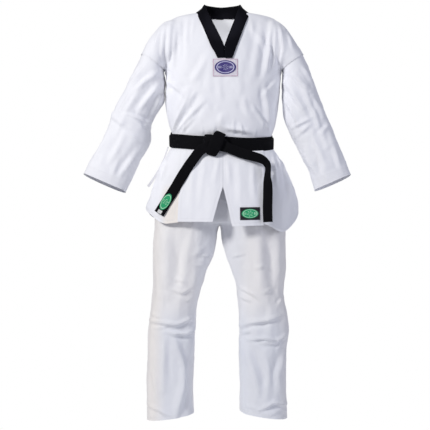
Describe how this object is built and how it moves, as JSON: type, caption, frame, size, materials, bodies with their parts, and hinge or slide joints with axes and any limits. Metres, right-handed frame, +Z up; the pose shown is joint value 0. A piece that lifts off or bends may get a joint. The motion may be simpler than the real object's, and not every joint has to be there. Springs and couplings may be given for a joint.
{
  "type": "martial arts uniform",
  "caption": "V-neck martial arts uniform as worn: pullover jacket with black collar and tied belt, split skirt and straight elastic-waist trousers.",
  "frame": {"origin": "between the shoulders, where the wearer's body holds the uniform up", "axes": "+Z up, -Y to the front of the garment, +X towards the wearer's left arm"},
  "size_m": [0.9912, 0.3113, 1.526],
  "materials": {
    "jacket_cloth": "matt cotton twill",
    "collar_cloth": "matt cotton, stitched in rows",
    "belt_cloth": "matt cotton, stitched in rows",
    "patch_cloth": "satin woven label",
    "emblem_thread": "embroidery thread",
    "label_black": "satin woven label",
    "label_green": "embroidery thread",
    "trouser_cloth": "matt cotton twill",
    "waist_elastic": "ribbed elastic"
  },
  "bodies": {
    "jacket": {"front_body_panel": "jacket_cloth", "back_body_panel": "jacket_cloth", "collar_right_lapel": "collar_cloth", "collar_left_lapel": "collar_cloth", "collar_neck_band": "collar_cloth", "chest_patch": "patch_cloth", "chest_emblem": "emblem_thread", "belt_inner_turn": "belt_cloth", "belt_outer_turn": "belt_cloth", "belt_knot": "belt_cloth", "belt_knot_wrap": "belt_cloth", "left_belt_tail_root": "belt_cloth", "right_belt_tail_root": "belt_cloth", "back_skirt_panel": "jacket_cloth"},
    "right_sleeve": {"right_shoulder_drop": "jacket_cloth", "right_upper_sleeve": "jacket_cloth"},
    "right_forearm": {"right_lower_sleeve": "jacket_cloth"},
    "left_sleeve": {"left_shoulder_drop": "jacket_cloth", "left_upper_sleeve": "jacket_cloth"},
    "left_forearm": {"left_lower_sleeve": "jacket_cloth"},
    "front_skirt": {"right_front_skirt_panel": "jacket_cloth", "left_front_skirt_panel": "jacket_cloth", "skirt_label": "label_black", "skirt_label_oval": "label_green"},
    "right_tail": {"right_belt_tail": "belt_cloth", "tail_label_oval": "label_green", "tail_size_tag": "patch_cloth"},
    "left_tail": {"left_belt_tail": "belt_cloth"},
    "side_tape": {"side_tie_tape": "jacket_cloth"},
    "trousers": {"waistband_casing": "trouser_cloth", "waistband_elastic": "waist_elastic", "right_trouser_seat": "trouser_cloth", "left_trouser_seat": "trouser_cloth", "crotch_gusset": "trouser_cloth"},
    "right_thigh": {"right_trouser_thigh": "trouser_cloth"},
    "right_shin": {"right_trouser_shin": "trouser_cloth"},
    "left_thigh": {"left_trouser_thigh": "trouser_cloth"},
    "left_shin": {"left_trouser_shin": "trouser_cloth"}
  },
  "joints": [
    {"name": "right_sleeve_raise", "type": "hinge", "parent": "jacket", "child": "right_sleeve", "pos_m": [-0.1662, 0, 0.037], "axis": [0, 1, 0], "range_deg": [0, 60]},
    {"name": "left_sleeve_raise", "type": "hinge", "parent": "jacket", "child": "left_sleeve", "pos_m": [0.1662, 0, 0.037], "axis": [0, -1, 0], "range_deg": [0, 60]},
    {"name": "right_elbow_bend", "type": "hinge", "parent": "right_sleeve", "child": "right_forearm", "pos_m": [-0.32722, -0.0702, -0.33616], "axis": [-0.9239, 0, 0.3827], "range_deg": [0, 90]},
    {"name": "left_elbow_bend", "type": "hinge", "parent": "left_sleeve", "child": "left_forearm", "pos_m": [0.32068, -0.0702, -0.34111], "axis": [-0.9348, 0, -0.3551], "range_deg": [0, 90]},
    {"name": "front_skirt_lift", "type": "hinge", "parent": "jacket", "child": "front_skirt", "pos_m": [0, -0.1333, -0.492], "axis": [-1, 0, 0], "range_deg": [0, 75]},
    {"name": "right_tail_lift", "type": "hinge", "parent": "front_skirt", "child": "right_tail", "pos_m": [-0.118, -0.146, -0.502], "axis": [-1, 0, 0], "range_deg": [0, 50]},
    {"name": "left_tail_lift", "type": "hinge", "parent": "front_skirt", "child": "left_tail", "pos_m": [0.165, -0.1335, -0.498], "axis": [-1, 0, 0], "range_deg": [0, 50]},
    {"name": "side_tape_swing", "type": "hinge", "parent": "jacket", "child": "side_tape", "pos_m": [-0.203, 0.012, -0.45], "axis": [0, 1, 0], "range_deg": [0, 20]},
    {"name": "trousers_drop", "type": "slide", "parent": "jacket", "child": "trousers", "axis": [0, 0, -1], "range_m": [0, 0.4]},
    {"name": "right_thigh_raise", "type": "hinge", "parent": "trousers", "child": "right_thigh", "pos_m": [-0.13, -0.1112, -0.78], "axis": [-1, 0, 0], "range_deg": [0, 80]},
    {"name": "left_thigh_raise", "type": "hinge", "parent": "trousers", "child": "left_thigh", "pos_m": [0.116, -0.1112, -0.78], "axis": [-1, 0, 0], "range_deg": [0, 80]},
    {"name": "right_knee_bend", "type": "hinge", "parent": "right_thigh", "child": "right_shin", "pos_m": [-0.178, 0.0885, -1.01], "axis": [1, 0, 0], "range_deg": [0, 90]},
    {"name": "left_knee_bend", "type": "hinge", "parent": "left_thigh", "child": "left_shin", "pos_m": [0.147, 0.0885, -1.01], "axis": [1, 0, 0], "range_deg": [0, 90]}
  ]
}
